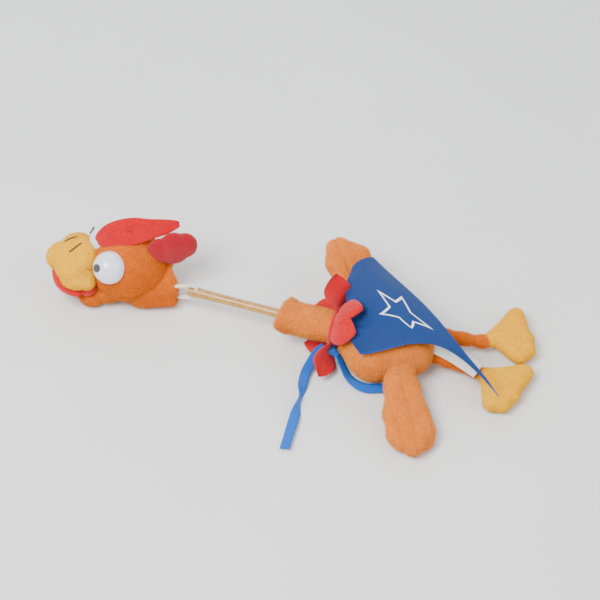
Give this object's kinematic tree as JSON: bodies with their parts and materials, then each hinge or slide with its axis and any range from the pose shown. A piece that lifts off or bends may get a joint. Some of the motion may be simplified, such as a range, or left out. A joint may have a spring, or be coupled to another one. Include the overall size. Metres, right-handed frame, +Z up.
{
  "type": "plush slingshot chicken toy",
  "caption": "Soft caped chicken with an elastic tube neck and a finger pocket under its head, to be stretched and let fly.",
  "frame": {"origin": "the patch under the belly that the toy lies on", "axes": "+X along the torso towards the feet, beak towards -X, +Z up"},
  "size_m": [0.2745, 0.1781, 0.057],
  "materials": {
    "orange_plush": "short pile plush",
    "pale_plush": "short pile plush",
    "yellow_fleece": "fleece",
    "red_felt": "felt",
    "cape_blue": "smooth woven",
    "navy_band": "woven tape",
    "blue_ribbon": "satin",
    "white_print": "flat print",
    "latex": "translucent, glossy",
    "cotton_cord": "braided",
    "white_plastic": "moulded",
    "eye_white": "glossy",
    "eye_black": "glossy",
    "dark_thread": "thread",
    "label_satin": "satin tape",
    "fibre_fill": "loose fibre",
    "green_board": "solder mask",
    "dark_metal": "matte",
    "bright_metal": "bright"
  },
  "bodies": {
    "torso": {"torso_skin": "pale_plush", "torso_stuffing": "fibre_fill", "sound_case": "white_plastic", "sound_lid": "white_plastic", "circuit_board": "green_board", "speaker": "dark_metal", "battery_cells": "bright_metal", "shake_switch": "bright_metal", "collar": "red_felt", "cape_neckband": "navy_band", "tie_front": "blue_ribbon", "tie_side": "blue_ribbon", "care_label": "label_satin", "tube_anchor": "white_plastic"},
    "neck": {"neck_sleeve": "pale_plush"},
    "tube": {"neck_tube": "latex"},
    "cord": {"neck_cord": "cotton_cord"},
    "bead": {"head_bead": "white_plastic"},
    "head": {"head_skin": "orange_plush", "head_stuffing": "fibre_fill", "finger_pocket": "pale_plush", "pocket_rim": "orange_plush", "chin": "orange_plush", "mouth_lining": "red_felt", "beak": "yellow_fleece", "beak_stuffing": "fibre_fill", "nostril_stitches": "dark_thread", "eye_near": "eye_white", "eye_far": "eye_white", "pupil_near": "eye_black", "pupil_far": "eye_black", "eye_washers": "white_plastic", "comb_front": "red_felt", "comb_rear": "red_felt", "comb_stitches": "dark_thread"},
    "cape": {"cape": "cape_blue", "cape_emblem": "white_print", "collar_back_petals": "red_felt"},
    "wing_near": {"wing_near": "pale_plush", "wing_near_stuffing": "fibre_fill"},
    "wing_far": {"wing_far": "pale_plush", "wing_far_stuffing": "fibre_fill"},
    "leg_near": {"leg_near": "orange_plush"},
    "leg_far": {"leg_far": "orange_plush"},
    "foot_near": {"foot_near": "yellow_fleece", "foot_near_stuffing": "fibre_fill"},
    "foot_far": {"foot_far": "yellow_fleece", "foot_far_stuffing": "fibre_fill"}
  },
  "joints": [
    {"name": "neck_swing", "type": "hinge", "parent": "torso", "child": "neck", "pos_m": [-0.027, 0.0152, 0.019], "axis": [0, 0, 1], "range_deg": [-15, 15], "stiffness_Nm_per_rad": 0.02},
    {"name": "neck_lift", "type": "hinge", "parent": "neck", "child": "tube", "pos_m": [-0.05165, 0.02847, 0.019], "axis": [0.4741, 0.8805, 0], "range_deg": [-45, 45]},
    {"name": "neck_stretch", "type": "slide", "parent": "tube", "child": "cord", "axis": [-0.8805, 0.4741, 0], "range_m": [0, 0.15], "stiffness_N_per_m": 120, "deforming": ["neck_tube"]},
    {"name": "head_turn", "type": "hinge", "parent": "cord", "child": "bead", "pos_m": [-0.12354, 0.06898, 0.011], "axis": [0, 0, 1], "range_deg": [-60, 60], "deforming": ["neck_cord"]},
    {"name": "head_nod", "type": "hinge", "parent": "bead", "child": "head", "pos_m": [-0.12354, 0.06898, 0.011], "axis": [0, 1, 0], "range_deg": [-40, 40]},
    {"name": "cape_lift", "type": "hinge", "parent": "torso", "child": "cape", "pos_m": [-0.024, 0.014, 0.031], "axis": [0, -1, 0], "range_deg": [0, 28]},
    {"name": "wing_near_flap", "type": "hinge", "parent": "torso", "child": "wing_near", "pos_m": [0.003, -0.022, 0.014], "axis": [-1, 0, 0], "range_deg": [-30, 25], "stiffness_Nm_per_rad": 0.03},
    {"name": "wing_far_flap", "type": "hinge", "parent": "torso", "child": "wing_far", "pos_m": [-0.003, 0.025, 0.0165], "axis": [1, 0, 0], "range_deg": [-35, 5], "stiffness_Nm_per_rad": 0.03},
    {"name": "leg_near_kick", "type": "hinge", "parent": "torso", "child": "leg_near", "pos_m": [0.029, -0.009, 0.011], "axis": [0, 1, 0], "range_deg": [-4, 60], "stiffness_Nm_per_rad": 0.02},
    {"name": "leg_far_kick", "type": "hinge", "parent": "torso", "child": "leg_far", "pos_m": [0.029, 0.007, 0.011], "axis": [0, 1, 0], "range_deg": [-20, 60], "stiffness_Nm_per_rad": 0.02},
    {"name": "foot_near_bend", "type": "hinge", "parent": "leg_near", "child": "foot_near", "pos_m": [0.049, -0.021, 0.007], "axis": [0.5145, 0.8575, 0], "range_deg": [-5, 30], "stiffness_Nm_per_rad": 0.01},
    {"name": "foot_far_bend", "type": "hinge", "parent": "leg_far", "child": "foot_far", "pos_m": [0.058, -0.001, 0.008], "axis": [0.2659, 0.964, 0], "range_deg": [-25, 30], "stiffness_Nm_per_rad": 0.01}
  ]
}
